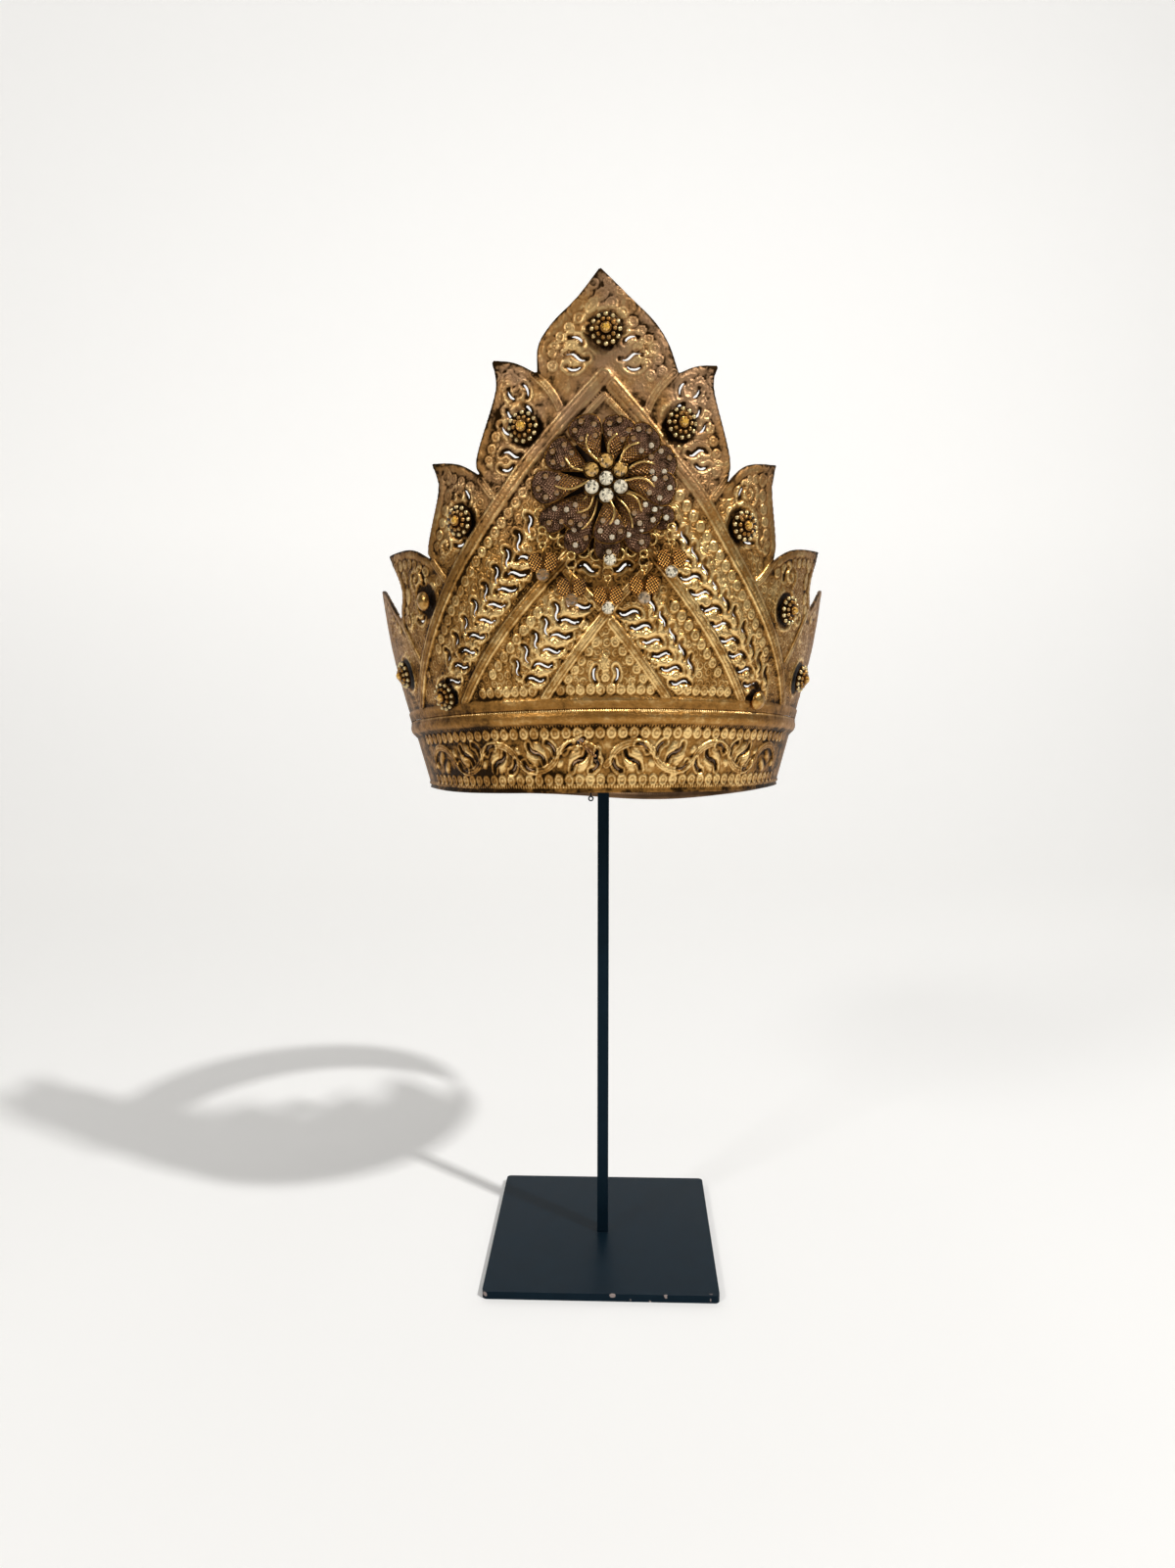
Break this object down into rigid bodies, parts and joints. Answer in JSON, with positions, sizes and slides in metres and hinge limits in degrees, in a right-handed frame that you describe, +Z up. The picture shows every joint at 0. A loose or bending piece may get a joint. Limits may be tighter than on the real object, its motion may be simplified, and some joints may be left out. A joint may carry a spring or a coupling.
{
  "type": "ceremonial crown on a display stand",
  "caption": "Pierced and raised brass crown with a stepped leaf-shaped front, jewelled flower and drops on a closed headband, tied to a black square rod on a square base plate.",
  "frame": {"origin": "middle of the base plate's underside", "axes": "+Z up along the stand's rod, the front of the crown looks along -Y, +X to the viewer's right"},
  "size_m": [0.2243, 0.2156, 0.479],
  "materials": {
    "gilt_brass": "raised and pierced sheet, tarnished dark in its hollows",
    "dark_brass": "granulated, dark brown in its hollows",
    "bright_gold": "polished wire and domes",
    "clear_stone": "cut and polished",
    "amber_stone": "cut and polished",
    "black_paint": "satin paint with a few chips",
    "copper_wire": "twisted annealed wire"
  },
  "bodies": {
    "root": {"headband": "gilt_brass", "crest": "gilt_brass", "stud_apex": "dark_brass", "stud_leaf_1_left": "dark_brass", "stud_leaf_1_right": "dark_brass", "stud_leaf_2_left": "dark_brass", "stud_leaf_2_right": "dark_brass", "stud_leaf_3_left": "bright_gold", "stud_leaf_3_right": "dark_brass", "stud_leaf_4_left": "dark_brass", "stud_leaf_4_right": "dark_brass", "stud_corner_left": "dark_brass", "stud_corner_right": "bright_gold", "flower": "dark_brass", "stone_0": "clear_stone", "stone_1": "amber_stone", "stone_2": "amber_stone", "stone_3": "amber_stone", "stone_4": "clear_stone", "stone_5": "clear_stone", "stone_6": "clear_stone", "jump_ring_1": "bright_gold", "jump_ring_2": "bright_gold", "jump_ring_3": "bright_gold", "jump_ring_4": "bright_gold", "jump_ring_5": "bright_gold", "pendant_1": "gilt_brass", "pendant_2": "gilt_brass", "pendant_3": "gilt_brass", "pendant_4": "gilt_brass", "pendant_5": "gilt_brass", "base_plate": "black_paint", "stand_rod": "black_paint", "rim_hook": "black_paint", "tie_wire": "copper_wire"}
  },
  "joints": []
}
